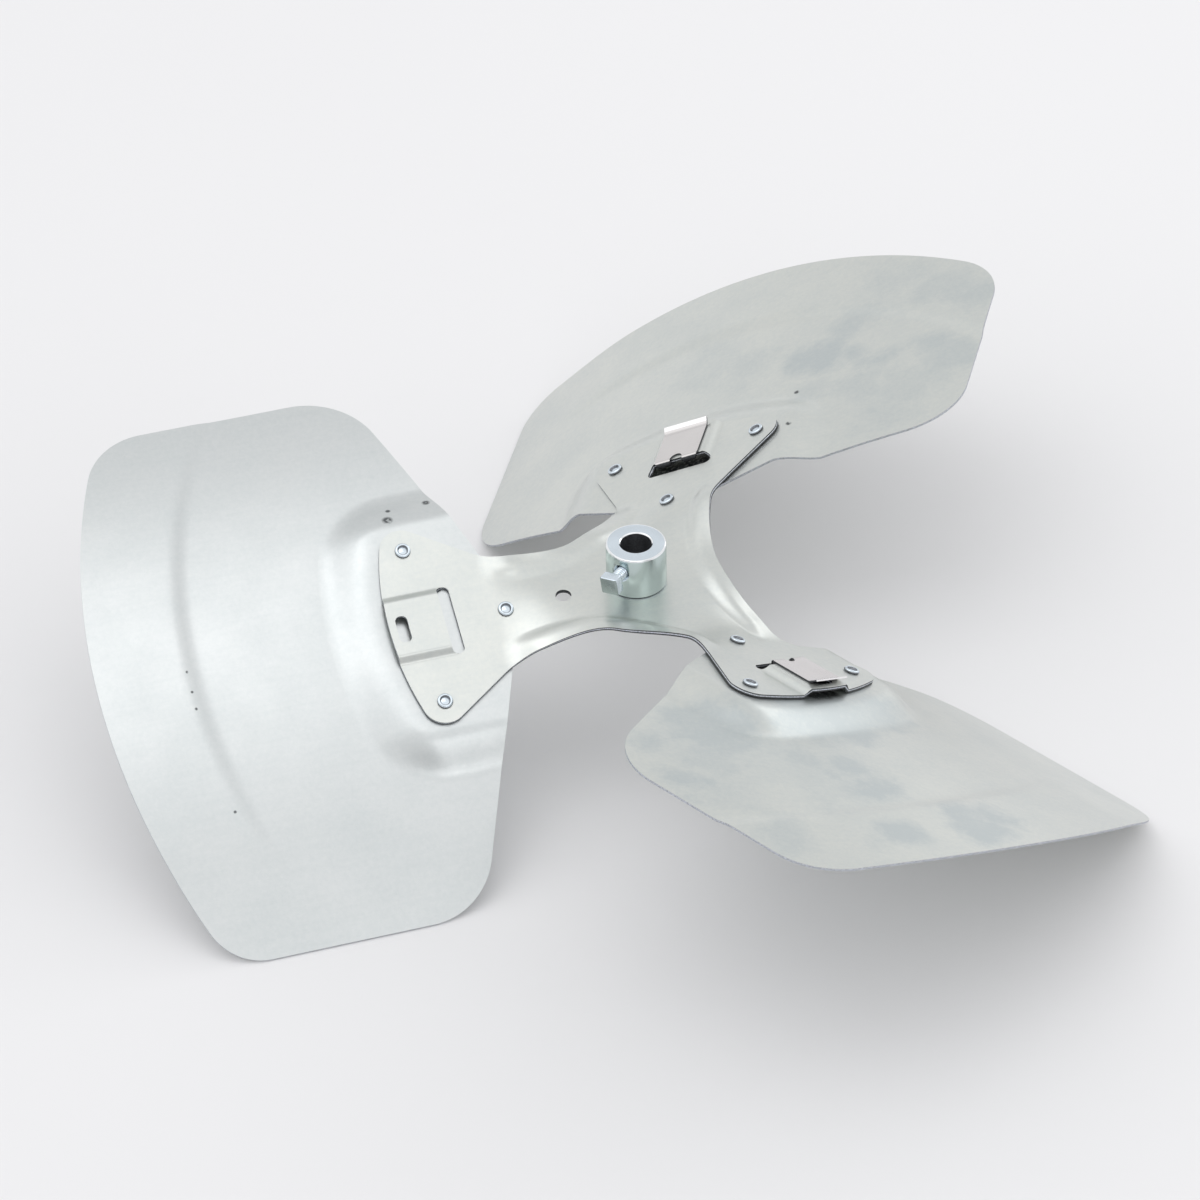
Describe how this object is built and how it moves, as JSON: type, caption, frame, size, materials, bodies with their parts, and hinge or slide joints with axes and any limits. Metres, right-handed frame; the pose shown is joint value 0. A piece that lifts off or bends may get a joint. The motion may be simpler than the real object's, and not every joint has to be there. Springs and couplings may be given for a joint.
{
  "type": "condenser fan blade",
  "caption": "Propeller fan with cambered sheet steel blades riveted to a twisted spider, a bored hub with a square-head set screw, and balance clips.",
  "frame": {"origin": "the fan's centre of mass, on the axis of the hub's bore", "axes": "+Z along the bore's axis towards the hub's free end; -X along the middle of blade a; blades b and c point 60 degrees either side of +X"},
  "size_m": [0.5157, 0.5495, 0.1353],
  "materials": {
    "spider": "galvanised sheet, satin",
    "blade_c": "galvanised sheet, satin",
    "blade_b": "galvanised sheet, satin",
    "blade_a": "galvanised sheet, satin",
    "hub": "zinc plated, bright, turned",
    "set_screw": "zinc plated, bright",
    "rivets": "zinc plated, bright",
    "balance_clips": "bare spring steel"
  },
  "bodies": {
    "root": {"spider": "spider", "hub": "hub", "set_screw": "set_screw", "blade_a": "blade_a", "rivet_a_inner": "rivets", "rivet_a_cw": "rivets", "rivet_a_ccw": "rivets", "blade_b": "blade_b", "rivet_b_inner": "rivets", "rivet_b_cw": "rivets", "rivet_b_ccw": "rivets", "blade_c": "blade_c", "rivet_c_inner": "rivets", "rivet_c_cw": "rivets", "rivet_c_ccw": "rivets", "balance_clip_b": "balance_clips", "balance_clip_c": "balance_clips"}
  },
  "joints": []
}
